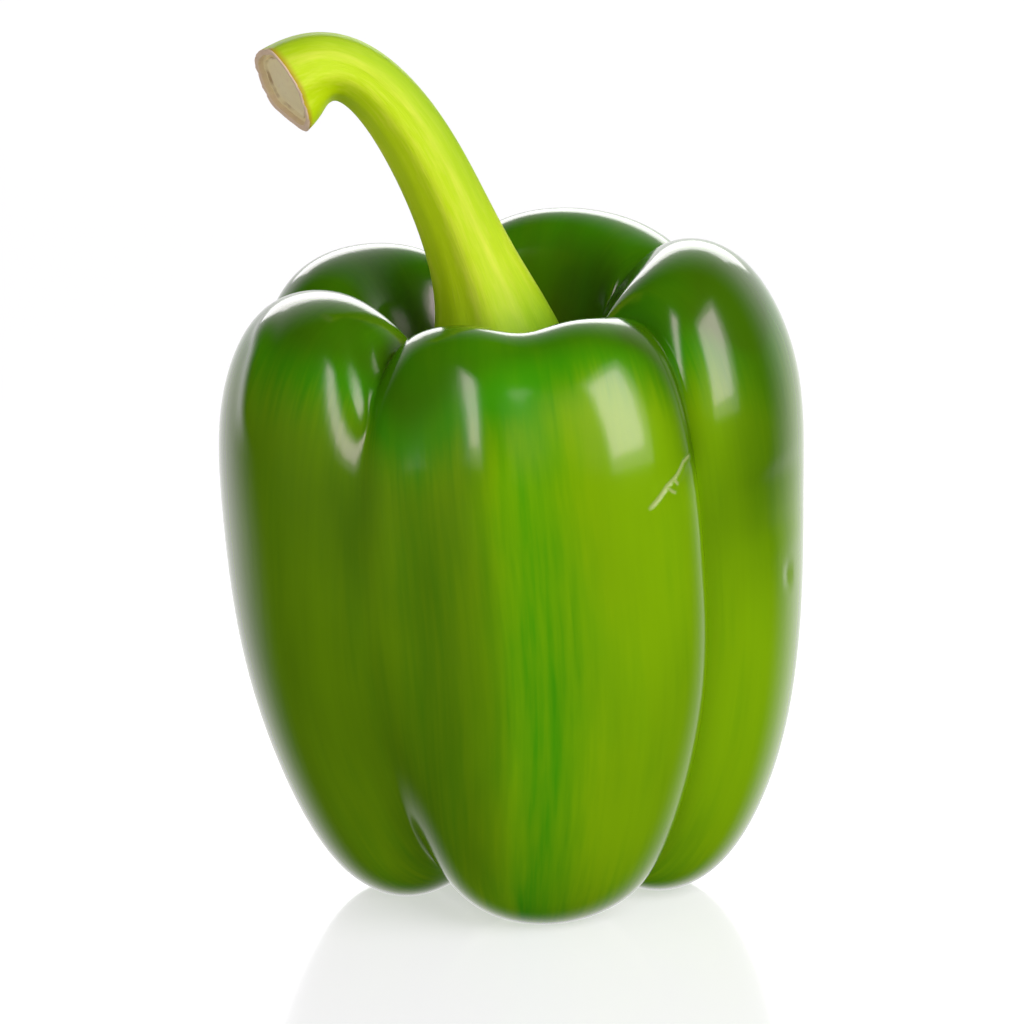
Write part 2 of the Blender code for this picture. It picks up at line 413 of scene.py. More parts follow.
@dataclass(frozen=True)
class PithFinish:
    """Dry cut end: a tan rim round paler, slightly woody pith."""

    cream: Color = (0.98, 0.84, 0.50)
    tan: Color = (0.86, 0.63, 0.45)
    ring: Color = (0.45, 0.27, 0.12)
    roughness: float = 0.75

    def build(self) -> bpy.types.Material:
        """Makes the material; it reads the share of the way out from the pith's middle."""
        material, graph = new_material("cut_pith")
        place = graph.place()
        grit = graph.noise(place, 1400.0, 3.0)
        cloud = graph.noise(place, 350.0, 2.0)
        out = graph.number("outwards") + (cloud - 0.5) * 0.06
        color = graph.mixed(out.between(0.80, 0.90), self.cream, self.tan)
        ring = out.between(0.64, 0.70) * (1.0 - out.between(0.72, 0.78))
        ring = ring * cloud.between(0.35, 0.6)
        color = graph.mixed(ring * 0.75, color, self.ring)
        color = graph.mixed((grit - 0.5).between(0.0, 0.4) * 0.5, color, self.tan)
        sockets = {
            "Base Color": color,
            "Roughness": self.roughness,
            "Normal": graph.bump(grit, 0.6, 0.15 * MM),
        }
        graph.principled("pith", sockets)
        return material


@dataclass(frozen=True)
class FloorFinish:
    """Glossy white table."""

    color: Color = (0.60, 0.585, 0.62)
    glow: float = 0.55
    roughness: float = 0.12

    def build(self) -> bpy.types.Material:
        """Makes the material."""
        material, graph = new_material("white_table")
        sockets = {
            "Base Color": (*self.color, 1.0),
            "Roughness": self.roughness,
            "IOR": 1.2,
            "Emission Color": (1.0, 0.99, 1.0, 1.0),
            "Emission Strength": self.glow,
        }
        graph.principled("table", sockets)
        return material


# ---------------------------------------------------------------------------------------
# The fruit


@dataclass(frozen=True)
class Lobe:
    """One lobe down its middle.

    Attributes:
        crest: Height of its top, in millimetres.
        ring: Radius from the axis to that top, in millimetres.
        reach: Radius at the shoulder's widest place.
        belly: Radius two fifths of the way up.
        heel: Radius where it turns under.
        foot: Radius of the place that it stands on.
        shoulder: Radius of the upper shoulder, as a share of reach.
        fullness: Roundness across; the section is squarer as this falls.
        dip: Depth of the dimple in its crest, in millimetres.
    """

    crest: float
    ring: float
    reach: float
    belly: float
    heel: float
    foot: float
    shoulder: float = 0.84
    fullness: float = 0.85
    dip: float = 0.0


@dataclass(frozen=True)
class Groove:
    """The groove before a lobe.

    Attributes:
        azimuths: Its degrees round the axis, at five places from the crest down.
        crest: Its depth at the crest, in millimetres.
        side: Its depth down the side.
        heel: Its depth where the lobes turn under.
        foot: Its height above the table between the feet.
        softness: How gently its banks meet, at the crest, the side and the foot.
    """

    azimuths: tuple[float, ...]
    crest: float = 8.0
    side: float = 5.0
    heel: float = 7.0
    foot: float = 7.0
    softness: tuple[float, float, float] = (0.15, 0.25, 0.15)


@dataclass(frozen=True)
class Line:
    """A line drawn on the skin, which fades towards its two ends.

    Attributes:
        places: The points that it joins, in order.
        width: Half its breadth, in millimetres.
        amount: Its depth in millimetres, negative for a ridge, or its share of a colour.
        ends: Share of its length over which each end fades.
    """

    places: tuple[Place, ...]
    width: float
    amount: float
    ends: float = 0.25

    TURN_LENGTH = 240.0  # millimetres once round the fruit
    SKIN_LENGTH = 250.0  # millimetres down the skin from crown to blossom end

    def flattened(self, turn: np.ndarray, along: np.ndarray) -> np.ndarray:
        """Points of the skin laid flat, in millimetres, shape (n, 2)."""
        across = (turn - self.places[0][0] + 0.5) % 1.0 - 0.5
        return np.stack((across * self.TURN_LENGTH, along * self.SKIN_LENGTH), 1)

    def weigh(self, turn: np.ndarray, along: np.ndarray) -> np.ndarray:
        """How strongly the line acts at each point, from 0 to its amount.

        Args:
            turn: Share of a turn, shape (n,).
            along: Share of the way down the skin, shape (n,).

        Returns:
            An array of shape (n,).
        """
        points = self.flattened(turn, along)
        corners = self.flattened(*np.array(self.places).T)
        lengths = np.linalg.norm(np.diff(corners, axis=0), axis=1)
        total = lengths.sum()
        best = np.full(len(points), np.inf)
        reached = np.zeros(len(points))
        start = 0.0
        for first, second, length in zip(corners, corners[1:], lengths):
            share = np.clip((points - first) @ (second - first) / length**2, 0.0, 1.0)
            distance = np.linalg.norm(points - first - share[:, None] * (second - first), axis=1)
            closer = distance < best
            best = np.where(closer, distance, best)
            reached = np.where(closer, (start + share * length) / total, reached)
            start += length
        fade = smooth_step(reached, 0.0, self.ends) * smooth_step(reached, 1.0, 1.0 - self.ends)
        return self.amount * np.exp(-((best / self.width) ** 2)) * fade


@dataclass
class Fruit:
    """The fruit: five lobes round a hollow crown, standing on its feet.

    Attributes:
        segments: Faces round the sphere that the fruit is made from.
        rings: Faces from its pole to its pole.
        crown_floor: Height of the crown's middle, in millimetres.
        blossom_end: Height of the blossom end.
        lobes: The lobes, from the front one towards the right and round.
        grooves: The groove before each lobe.
        axis_shift: How far the axis leans to the right, from the crest down.
        dimple_width: Share of half a lobe that the dimple in its crest takes.
        relief: Shallow dents, ridges and a pit.
        scar: The corky scar.
        undulation: Height of the gentle waves all over, in millimetres.
        cap_edge: How far down the skin the green cap reaches.
        cap_tongues: Where it reaches further or less, and by how much.
        green_band: The greener band down the front.
        yellow_band: The yellower streak beside it.
        left_shade: Greener hue left of the front, with painted shade there on the side away from the key
            light.
        flank_shade: The deeper green on the right flank.
        edge_shade: The deeper green on the front lobe's right shoulder.
        skin: The finish.
    """

    segments: int = 360
    rings: int = 240
    crown_floor: float = 72.0
    blossom_end: float = 9.5
    lobes: tuple[Lobe, ...] = (
        Lobe(85.5, 24.5, 40.6, 39.8, 34.5, 18.5, fullness=0.72, dip=1.6),
        Lobe(91.8, 24.0, 40.6, 40.2, 36.2, 18.5),
        Lobe(90.6, 23.0, 40.2, 39.0, 33.0, 18.5),
        Lobe(86.4, 25.5, 40.2, 38.0, 32.0, 18.5, shoulder=0.86),
        Lobe(86.0, 24.0, 40.8, 39.5, 33.2, 18.0, shoulder=0.885, fullness=0.8),
    )
    grooves: tuple[Groove, ...] = (
        Groove((-38, -31, -33, -37, -40), crest=7.5, side=2.6, heel=6.0, softness=(0.15, 0.9, 0.4)),
        Groove((50, 44.5, 53, 52, 52), crest=6.5, side=6.0, heel=8.0, softness=(0.15, 0.15, 0.12)),
        Groove((114, 118, 122, 124, 126)),
        Groove((197, 195, 188, 184, 182)),
        Groove((265, 257, 246, 238, 234)),
    )
    axis_shift: tuple[float, ...] = (-1.5, -0.6, 0.4, 1.6, 3.2)
    dimple_width: float = 0.2
    relief: tuple[Line, ...] = (
        Line(((0.099, 0.40), (0.098, 0.47), (0.097, 0.58), (0.095, 0.70)), 4.5, 0.6, 0.3),
        Line(((0.084, 0.37), (0.085, 0.50), (0.083, 0.62)), 3.2, -0.55, 0.3),
        Line(((0.052, 0.36), (0.052, 0.50), (0.050, 0.66)), 6.5, 1.35, 0.35),
        Line(((0.945, 0.335), (0.965, 0.373), (0.990, 0.41), (0.010, 0.45)), 2.4, 0.55, 0.3),
        Line(((0.885, 0.37), (0.905, 0.41), (0.916, 0.48)), 1.8, -0.6, 0.3),
        Line(((0.262, 0.50), (0.262, 0.56)), 6.0, 0.6, 0.3),
        Line(((0.078, 0.358), (0.092, 0.366), (0.106, 0.372)), 0.5, 0.12, 0.3),
        Line(((0.080, 0.366), (0.094, 0.374)), 0.5, 0.1, 0.3),
        Line(((0.0805, 0.462), (0.0865, 0.464)), 0.45, 0.18, 0.3),
        Line(((0.273, 0.568), (0.274, 0.582)), 0.6, 0.4, 0.3),
    )
    scar: tuple[Line, ...] = (
        Line(
            (
                (0.1367, 0.499), (0.145, 0.490), (0.150, 0.484),
                (0.158, 0.479), (0.165, 0.4725), (0.177, 0.4695),
            ),
            0.33, 0.26, 0.12,
        ),
        Line(((0.150, 0.4855), (0.153, 0.489), (0.156, 0.491)), 0.3, 0.2, 0.2),
        Line(((0.155, 0.482), (0.158, 0.486)), 0.3, 0.18, 0.2),
    )
    undulation: float = 0.34
    cap_edge: float = 0.42
    cap_tongues: tuple[Place, ...] = ((0.04, 0.045), (0.12, -0.02), (0.27, 0.035), (0.93, 0.01))
    green_band: Line = Line(((0.094, 0.36), (0.0935, 0.55), (0.0945, 0.84)), 3.6, 0.62, 0.15)
    yellow_band: Line = Line(((0.0855, 0.43), (0.086, 0.55), (0.088, 0.80)), 1.8, 1.0, 0.2)
    left_shade: Line = Line(((0.042, 0.36), (0.042, 0.60), (0.044, 0.80)), 10.0, 0.56, 0.2)
    flank_shade: Line = Line(((0.272, 0.30), (0.265, 0.46), (0.247, 0.53), (0.234, 0.62)), 10.0, 0.75, 0.4)
    edge_shade: Line = Line(((0.155, 0.34), (0.170, 0.38), (0.180, 0.43), (0.187, 0.50)), 5.0, 1.0, 0.2)
    skin: SkinFinish = field(default_factory=SkinFinish)

    ROWS = 14
    AZIMUTH_ROWS = (4, 6, 8, 10, 12)
    SOFTNESS_ROWS = (4, 8, 12)
    DIMPLE_DROP = np.array((0, 0, 0, 0.6, 1.2, 0.9, 0.2, 0, 0, 0, 0, 0, 0, 0))
    DIMPLE_SINK = np.array((0, 0, 0, 0, 0, 0.5, 0.8, 0.4, 0.2, 0, 0, 0, 0, 0))

    def lobe_profile(self, lobe: Lobe) -> np.ndarray:
        """The middle of a lobe.

        Args:
            lobe: The lobe.

        Returns:
            Radius and height of its control rows, from the crown to the blossom end.
        """
        return np.array((
            (0.0, self.crown_floor),
            (lobe.ring * 0.36, self.crown_floor - 0.5),
            (lobe.ring * 0.62, self.crown_floor + 3.0),
            (lobe.ring * 0.74, lobe.crest - 3.5),
            (lobe.ring, lobe.crest + 2.2),
            (lobe.reach * lobe.shoulder, lobe.crest - 0.3),
            (lobe.reach * 1.03, lobe.crest * 0.82),
            (lobe.reach * 1.01, lobe.crest * 0.62),
            (lobe.belly, lobe.crest * 0.40),
            (lobe.heel * 1.03, lobe.crest * 0.19),
            (lobe.heel * 0.80, 1.0),
            (lobe.foot * 0.95, -2.6),
            (lobe.foot * 0.52, 2.0),
            (0.0, self.blossom_end),
        ))

    def groove_profile(self, index: int) -> np.ndarray:
        """The groove before a lobe.

        Args:
            index: Number of the lobe.

        Returns:
            Radius and height of its control rows, from the crown to the blossom end.
        """
        groove = self.grooves[index]
        between = (self.lobe_profile(self.lobes[index - 1]) + self.lobe_profile(self.lobes[index])) / 2
        inwards = np.array((
            0, 0, 0.9, 1.8, 3.0, 4.8, groove.side, groove.side, groove.side * 1.1,
            groove.heel, groove.heel * 0.9, groove.foot * 0.35, 0, 0,
        ))
        downwards = np.array((
            0, 0, 1.5, groove.crest * 0.7, groove.crest, groove.crest * 0.7, groove.crest * 0.3,
            0, 0, 0, -groove.foot * 0.8, -groove.foot, -groove.foot * 0.5, 0,
        ))
        return between - np.stack((inwards, downwards), 1)

    def rows_between(self, keys: Sequence[int], values: Sequence[float]) -> np.ndarray:
        """Values that are given at some rows, filled in for every row."""
        return np.interp(np.arange(self.ROWS), keys, values)

    def meridian_rows(self, turn: np.ndarray) -> np.ndarray:
        """Control points of the meridians at these shares of a turn.

        Args:
            turn: Shares of a turn, shape (n,).

        Returns:
            Points in millimetres, shape (n, ROWS, 3).
        """
        count = len(self.lobes)
        place = turn % 1.0 * count
        lobe = np.minimum(place.astype(int), count - 1)
        after = (lobe + 1) % count
        across = (2 * (place - lobe) - 1)[:, None]
        ease = smooth_step(across, -1.0, 1.0)

        softness = np.array(
            [self.rows_between(self.SOFTNESS_ROWS, groove.softness) for groove in self.grooves]
        )
        soft = softness[lobe] * (1 - ease) + softness[after] * ease
        spread = (1 - soft) * np.sin(pi * across / 2) + soft * across
        arch = np.sqrt(np.cos(pi * across / 2) ** 2 + soft**2) - soft
        fullness = np.array([shape.fullness for shape in self.lobes])[lobe, None]
        arch = (arch / (np.sqrt(1 + soft**2) - soft)) ** fullness

        lobes = np.array([self.lobe_profile(shape) for shape in self.lobes])
        grooves = np.array([self.groove_profile(index) for index in range(count)])
        base = grooves[lobe] * (1 - ease)[..., None] + grooves[after] * ease[..., None]
        profile = base + (lobes[lobe] - base) * arch[..., None]
        dip = np.array([shape.dip for shape in self.lobes])[lobe, None]
        dip = dip * np.exp(-((across / self.dimple_width) ** 2))
        radius = profile[..., 0] - dip * self.DIMPLE_SINK
        height = profile[..., 1] - dip * self.DIMPLE_DROP

        azimuths = np.array(
            [self.rows_between(self.AZIMUTH_ROWS, groove.azimuths) for groove in self.grooves]
        )
        full_turn = np.where(after == 0, 360.0, 0.0)[:, None]
        share = (spread + 1) / 2
        azimuth = np.radians(azimuths[lobe] * (1 - share) + (azimuths[after] + full_turn) * share)
        shift = self.rows_between(self.AZIMUTH_ROWS, self.axis_shift)
        return np.stack((radius * np.sin(azimuth) + shift, -radius * np.cos(azimuth), height), -1)

    def skin_points(self, turn: np.ndarray, along: np.ndarray) -> np.ndarray:
        """Points of the smooth skin.

        Args:
            turn: Shares of a turn, shape (n,).
            along: Shares of the way from the crown to the blossom end, shape (n,).

        Returns:
            Points in millimetres, shape (n, 3).
        """
        rows = self.meridian_rows(turn)
        ends = []
        for pole, beside in ((0, 1), (-1, -2)):
            past = 2 * rows[:, pole] - rows[:, beside]
            past[:, 2] = rows[:, beside, 2]
            ends.append(past[:, None])
        rows = np.concatenate((ends[0], rows, ends[1]), axis=1)
        return np.einsum("nk,nkc->nc", spline_weights(self.ROWS, along), rows)

    def offset(self) -> np.ndarray:
        """What moves the lobes into the box of the solid fruit.

        Returns:
            The move along each axis, in millimetres.
        """
        low, high = (np.array(corner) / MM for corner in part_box("fruit"))
        turn, along = np.meshgrid(np.linspace(0, 1, 400), np.linspace(0, 1, 400))
        points = self.skin_points(turn.ravel(), along.ravel())
        offset = (low + high - points.min(axis=0) - points.max(axis=0)) / 2
        offset[2] = high[2] - points[:, 2].max()
        return offset

    def sphere(self) -> bpy.types.Object:
        """Makes a unit sphere, with finer faces where the corky scar will be.

        Returns:
            The sphere.
        """
        deselect()
        bpy.ops.mesh.primitive_uv_sphere_add(segments=self.segments, ring_count=self.rings, radius=1.0)
        sphere = bpy.context.active_object
        sphere.name = "pepper_fruit"
        turn, along = self.places(sphere.data)
        near = Line(self.scar[0].places, 3.5, 1.0, 0.001).weigh(turn, along) > 0.3
        with editing(sphere):
            bpy.ops.mesh.select_all(action="DESELECT")
        chosen = [bool(near[list(face.vertices)].all()) for face in sphere.data.polygons]
        sphere.data.polygons.foreach_set("select", chosen)
        with editing(sphere):
            bpy.ops.mesh.subdivide(number_cuts=3)
        return sphere

    def places(self, mesh: bpy.types.Mesh) -> tuple[np.ndarray, np.ndarray]:
        """Where on the skin each vertex of the sphere belongs: its turn and its way down."""
        points = coordinates(mesh)
        turn = np.arctan2(points[:, 1], points[:, 0]) / (2 * pi) % 1.0
        along = np.arctan2(np.hypot(points[:, 0], points[:, 1]), points[:, 2]) / pi
        return turn, along

    def waves(self, turn: np.ndarray, along: np.ndarray) -> np.ndarray:
        """Gentle unevenness of the skin, the same on every run.

        Args:
            turn: Shares of a turn, shape (n,).
            along: Shares of the way down the skin, shape (n,).

        Returns:
            Heights from -1 to 1, shape (n,).
        """
        chance = np.random.default_rng(11)
        total = np.zeros(len(turn))
        for _ in range(14):
            round_count = chance.integers(3, 12)
            down_count = chance.uniform(1.0, 6.0)
            phase = chance.uniform(0, 2 * pi, 2)
            round_wave = np.sin(2 * pi * round_count * turn + phase[0])
            total += round_wave * np.sin(2 * pi * down_count * along + phase[1])
        fade = smooth_step(along, 0.12, 0.3) * smooth_step(along, 0.95, 0.8)
        return total / np.abs(total).max() * fade

    def tints(self, turn: np.ndarray, along: np.ndarray) -> dict[str, np.ndarray]:
        """Shares of each colour over the skin.

        Args:
            turn: Shares of a turn, shape (n,).
            along: Shares of the way down the skin, shape (n,).

        Returns:
            An array of shape (n,) for each of green, deep, brown and cork; deep holds painted shade as
            well as deep green.
        """
        tongues = sum(
            rise * np.exp(-(((turn - middle) / 0.035) ** 2)) for middle, rise in self.cap_tongues
        )
        below_cap = along - (self.cap_edge + tongues)
        cap = smooth_step(below_cap, 0.035, -0.025)
        top = smooth_step(below_cap, -0.01, -0.05)
        # Painted shade in the hollow of the crown round the stem
        hollow = smooth_step(along, 0.30, 0.20)
        foot = smooth_step(along, 0.68, 0.85)
        blossom = smooth_step(along, 0.988, 0.994)

        # left_shade gives a greener hue and painted shade left of the front, the side away from the key
        # light
        left = self.left_shade.weigh(turn, along)
        around = (turn + 0.5) % 1.0 - 0.5
        # Painted shade: the lobes left of the front are darkened, more so higher up, as the side away from
        # the key light
        beside = smooth_step(around, -0.32, -0.20) * smooth_step(around, 0.03, -0.01) * 0.40
        beside = beside * (1.0 + 0.45 * smooth_step(along, 0.58, 0.48))
        green = cap * 0.95 + self.green_band.weigh(turn, along) + left * 0.3 + foot * 0.35
        # deep: deep green of the cap and bands, plus painted shade in the crown's hollow and on the left
        # side
        deep = hollow * 0.3 + cap * 0.1 + top * 0.5 + (left + beside) * (1 - cap * 0.6)
        deep = deep + self.flank_shade.weigh(turn, along) + self.edge_shade.weigh(turn, along)
        deep = deep - self.yellow_band.weigh(turn, along) * 0.4
        scar = sum(line.weigh(turn, along) / line.amount for line in self.scar)
        return {
            "green": np.clip(green, 0, 1),
            "deep": np.clip(deep, 0, 1),
            "brown": np.clip(smooth_step(along, 0.22, 0.12) * 0.35 + blossom, 0, 1),
            "cork": np.clip(scar * 1.1 - 0.3, 0, 0.85),
        }

    def build(self) -> bpy.types.Object:
        """Makes the fruit.

        Returns:
            The finished object.
        """
        fruit = self.sphere()
        mesh = fruit.data
        turn, along = self.places(mesh)
        points = self.skin_points(turn, along) + self.offset()
        place_vertices(mesh, points * MM)
        depth = sum(line.weigh(turn, along) for line in self.relief)
        scar = sum(line.weigh(turn, along) for line in self.scar)
        lips = sum(
            Line(line.places, line.width * 2.6, line.amount * 0.45, line.ends).weigh(turn, along)
            for line in self.scar
        )
        depth = depth + scar - lips - self.waves(turn, along) * self.undulation
        points = points - normals(mesh) * depth[:, None]
        points[:, 2] = np.maximum(points[:, 2], 0.0)
        place_vertices(mesh, points * MM)
        store(mesh, "grain", np.stack((np.cos(2 * pi * turn), np.sin(2 * pi * turn), along), 1))
        for name, values in self.tints(turn, along).items():
            store(mesh, name, values)
        mesh.shade_smooth()
        mesh.materials.append(self.skin.build())
        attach(fruit, "root")
        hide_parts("fruit")
        LOG.info("%s: %d vertices", fruit.name, len(mesh.vertices))
        return fruit


# ---------------------------------------------------------------------------------------
# The stem and the calyx


@dataclass
class Stem:
    """The stem: a ridged tube along a curved line, cut across with a knife at its far end.

    Attributes:
        offset: What moves the line into the frame, in millimetres.
        line: Control points of the middle line and the radius there, in millimetres.
        knife_point: A point that the cut goes through.
        knife_normal: The way that the cut end faces.
        knife_reach: The knife cuts nothing lower than this, in millimetres.
        heel_height: How far the stem swells below, just before the cut.
        sides: Faces round it.
        first_cuts: Rings added to the straight cylinder.
        second_cuts: Rings added between those.
        ridges: Lengthwise ridges round it.
        ridge_height: Their height, as a share of the radius.
        cut_steps: Size of each ring of the cut end from the one before, and its push outwards.
        finish: The finish of its side.
        pith: The finish of its cut end.
    """

    offset: np.ndarray
    line: tuple[tuple[float, float, float, float], ...] = (
        (-2.2, 0.0, 67.8, 14.0),
        (-2.2, 0.0, 72.3, 13.4),
        (-2.0, 0.0, 75.8, 10.2),
        (-2.9, 0.0, 81.6, 7.9),
        (-5.4, 0.0, 89.1, 5.9),
        (-8.7, 0.0, 97.3, 5.2),
        (-12.3, 0.0, 104.9, 5.0),
        (-17.0, 0.0, 112.2, 4.6),
        (-22.6, -0.5, 117.2, 4.2),
        (-28.3, -2.0, 117.3, 5.2),
        (-33.2, -4.0, 114.2, 5.8),
        (-38.0, -7.0, 111.0, 5.9),
    )
    knife_point: tuple[float, float, float] = (-32.0, -3.6, 114.3)
    knife_normal: tuple[float, float, float] = (-0.80, -0.48, -0.36)
    knife_reach: float = 95.0
    heel_height: float = 1.9
    sides: int = 168
    first_cuts: int = 9
    second_cuts: int = 15
    ridges: int = 5
    ridge_height: float = 0.045
    cut_steps: tuple[tuple[float, float], ...] = (
        (0.975, 0.15), (0.94, 0.0), (0.94, -0.1), (0.97, -0.7), (0.93, -0.25), (0.95, 0.25),
        (0.95, -0.3), (0.85, -0.1), (0.8, 0.0), (0.7, 0.05), (0.6, 0.0),
    )
    finish: StemFinish = field(default_factory=StemFinish)
    pith: PithFinish = field(default_factory=PithFinish)

    def tube(self) -> bpy.types.Object:
        """Makes a unit cylinder with many rings, still straight.

        Returns:
            The cylinder.
        """
        deselect()
        bpy.ops.mesh.primitive_cylinder_add(vertices=self.sides, radius=1.0, depth=1.0)
        tube = bpy.context.active_object
        tube.name = "pepper_stem"
        bpy.context.tool_settings.mesh_select_mode = EDGES
        for cuts in (self.first_cuts, self.second_cuts):
            heights = coordinates(tube.data)[:, 2]
            for edge in tube.data.edges:
                first, second = edge.vertices
                edge.select = bool(abs(heights[first] - heights[second]) > 1e-4)
            for face in tube.data.polygons:
                face.select = False
            with editing(tube, EDGES):
                bpy.ops.mesh.subdivide(number_cuts=cuts)
        return tube

    def centre_line(self, share: np.ndarray) -> tuple[np.ndarray, np.ndarray, np.ndarray]:
        """The middle line.

        Args:
            share: Share of the way from the calyx to the far end, shape (n,).

        Returns:
            Points and directions of shape (n, 3), and radii of shape (n,).
        """
        controls = np.array(self.line)
        controls[:, :3] += self.offset
        before = 2 * controls[:1] - controls[1:2]
        after = 2 * controls[-1:] - controls[-2:-1]
        controls = np.concatenate((before, controls, after))
        line = spline_weights(len(self.line), share) @ controls
        step = 1e-3
        ahead = spline_weights(len(self.line), np.minimum(share + step, 1.0)) @ controls
        behind = spline_weights(len(self.line), np.maximum(share - step, 0.0)) @ controls
        direction = ahead[:, :3] - behind[:, :3]
        direction /= np.linalg.norm(direction, axis=1, keepdims=True)
        return line[:, :3], direction, line[:, 3]

    def ridge(self, angle: np.ndarray, share: np.ndarray) -> np.ndarray:
        """Height of the lengthwise ridges, from -1 to 1."""
        twist = angle + 0.5 * share
        wide = np.cos(self.ridges * twist + 0.6)
        fine = np.cos(2 * self.ridges * twist + 1.1 + 0.8 * np.sin(6 * share))
        return 0.75 * wide + 0.25 * fine

    def bend(self, tube: bpy.types.Object) -> None:
        """Bends the straight cylinder along the middle line and gives it its ridges.

        Args:
            tube: The cylinder.
        """
        straight = coordinates(tube.data)
        angle = np.arctan2(straight[:, 1], straight[:, 0])
        share = straight[:, 2] + 0.5
        middle, direction, radius = self.centre_line(share)
        side = np.cross((0.0, 1.0, 0.0), direction)
        side /= np.linalg.norm(side, axis=1, keepdims=True)
        back = np.cross(direction, side)
        ridge = self.ridge(angle, share)
        grown = radius * (1 + self.ridge_height * ridge)
        heel = hump(angle, radians(205), radians(30)) * smooth_step(share, 0.72, 0.93)
        grown += self.heel_height * heel
        outwards = np.cos(angle)[:, None] * side + np.sin(angle)[:, None] * back
        place_vertices(tube.data, (middle + grown[:, None] * outwards) * MM)
        store(tube.data, "grain", np.stack((np.cos(angle), np.sin(angle), share * 4), 1))
        # Painted highlights: a pale streak down one side of the stem and a fainter one near its foot,
        # stored with the ridges so that the finish turns them pale
        painted_highlight_streak = hump(angle, -1.05, 0.17) * smooth_step(share, 0.15, 0.3)
        painted_faint_highlight = hump(angle, -1.75, 0.10) * smooth_step(share, 0.6, 0.3)
        store(tube.data, "ridge", ridge + 2.6 * painted_highlight_streak + 1.6 * painted_faint_highlight)
        base = smooth_step(share, 0.37, 0.20)
        right = 0.5 + 0.5 * np.cos(angle + 0.5)
        outer = hump(angle, -0.35, 0.55) * smooth_step(share, 0.30, 0.55)
        store(tube.data, "green", base * (0.35 + 0.65 * right) + outer * 0.55)

    def cut(self, tube: bpy.types.Object) -> None:
        """Cuts the far end off and sinks the pith a little inside its rim.

        Args:
            tube: The bent stem.
        """
        knife = Vector((np.array(self.knife_point) + self.offset) * MM)
        normal = Vector(self.knife_normal).normalized()
        high = coordinates(tube.data)[:, 2] > self.knife_reach * MM
        above = [bool(high[list(face.vertices)].all()) for face in tube.data.polygons]
        with editing(tube):
            bpy.ops.mesh.select_all(action="DESELECT")
        tube.data.polygons.foreach_set("select", above)
        with editing(tube):
            bpy.ops.mesh.bisect(plane_co=knife, plane_no=normal, use_fill=True, clear_outer=True)
        cap = next(face for face in tube.data.polygons if face.select)
        middle = cap.center.copy()
        tube.data.materials.append(self.finish.build())
        tube.data.materials.append(self.pith.build())
        with editing(tube):
            for scale, push in self.cut_steps:
                bpy.ops.mesh.extrude_region()
                bpy.ops.transform.resize(value=(scale, scale, scale), center_override=middle)
                bpy.ops.transform.translate(value=normal * push * MM)
            bpy.ops.mesh.poke()
            for _ in self.cut_steps:
                bpy.ops.mesh.select_more()
            tube.active_material_index = 1
            bpy.ops.object.material_slot_assign()
        apart = coordinates(tube.data) - np.array(middle)
        ahead = apart @ np.array(normal)
        flat = apart - ahead[:, None] * np.array(normal)
        out = np.linalg.norm(flat, axis=1)
        across = np.cross(np.array(normal), (0.0, 0.0, 1.0))
        angle = np.arctan2(flat[:, 2], flat @ across)
        rim = (np.abs(ahead) < 1e-6) & (out < 10 * MM)
        order = np.argsort(angle[rim])
        reach = np.interp(angle, angle[rim][order], out[rim][order], period=2 * pi)
        store(tube.data, "outwards", np.clip(out / reach, 0, 1))
        store(tube.data, "edge", smooth_step(-ahead / MM, 0.9, 0.1) * (out < 10 * MM))

    def build(self) -> bpy.types.Object:
        """Makes the stem.

        Returns:
            The finished object.
        """
        stem = self.tube()
        self.bend(stem)
        self.cut(stem)
        pick(stem)
        bpy.ops.object.shade_smooth_by_angle(angle=radians(40))
        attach(stem, "root")
        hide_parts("stem")
        LOG.info("%s: %d vertices", stem.name, len(stem.data.vertices))
        return stem


